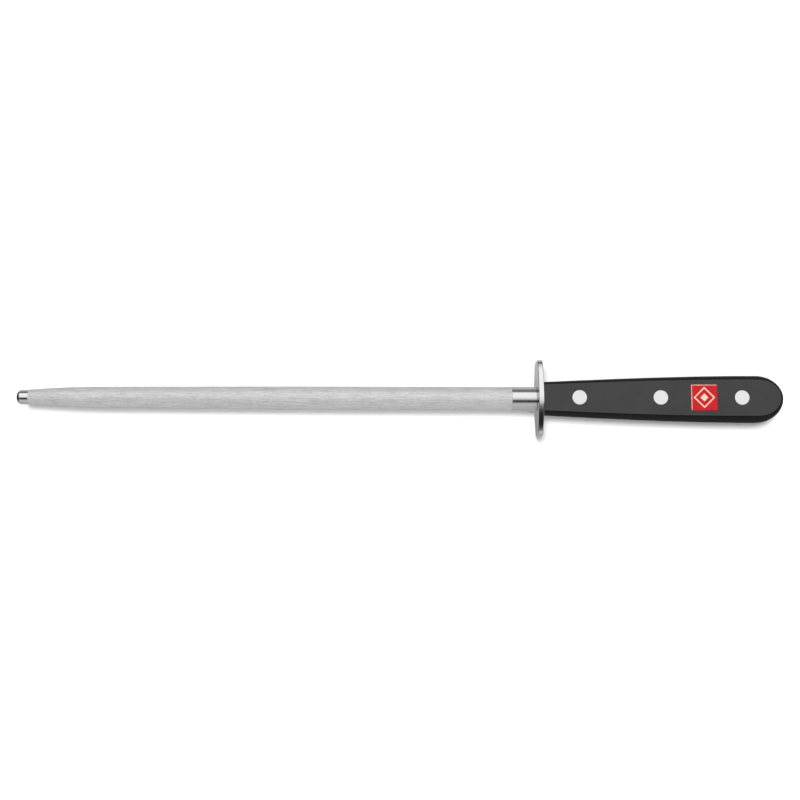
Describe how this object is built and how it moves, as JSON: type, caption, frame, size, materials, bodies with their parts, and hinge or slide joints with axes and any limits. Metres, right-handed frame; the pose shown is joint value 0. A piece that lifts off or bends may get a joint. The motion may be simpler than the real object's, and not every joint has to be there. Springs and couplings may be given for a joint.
{
  "type": "knife sharpening steel",
  "caption": "Ribbed round sharpening rod with a polished collar, a flat guard plate and a riveted handle in two black scales with a red inlay.",
  "frame": {"origin": "where the rod's axis meets the guard's front face", "axes": "-X along the rod to its tip, +X along the handle to its butt, +Y across the handle's width, +Z out of the handle's badge side"},
  "size_m": [0.3829, 0.0382, 0.023],
  "materials": {
    "rod_steel": "satin",
    "polished_steel": "polished",
    "tang_steel": "satin",
    "scale_black": "satin",
    "rivet_steel": "satin",
    "badge_red": "gloss",
    "badge_cream": "gloss"
  },
  "bodies": {
    "root": {"rod": "rod_steel", "collar": "polished_steel", "guard": "polished_steel", "tang": "tang_steel", "scale_front": "scale_black", "scale_back": "scale_black", "badge_plate": "badge_red", "badge_emblem": "badge_cream", "rivet_1_pin": "rivet_steel", "rivet_1_socket": "rivet_steel", "rivet_2_pin": "rivet_steel", "rivet_2_socket": "rivet_steel", "rivet_3_pin": "rivet_steel", "rivet_3_socket": "rivet_steel"}
  },
  "joints": []
}
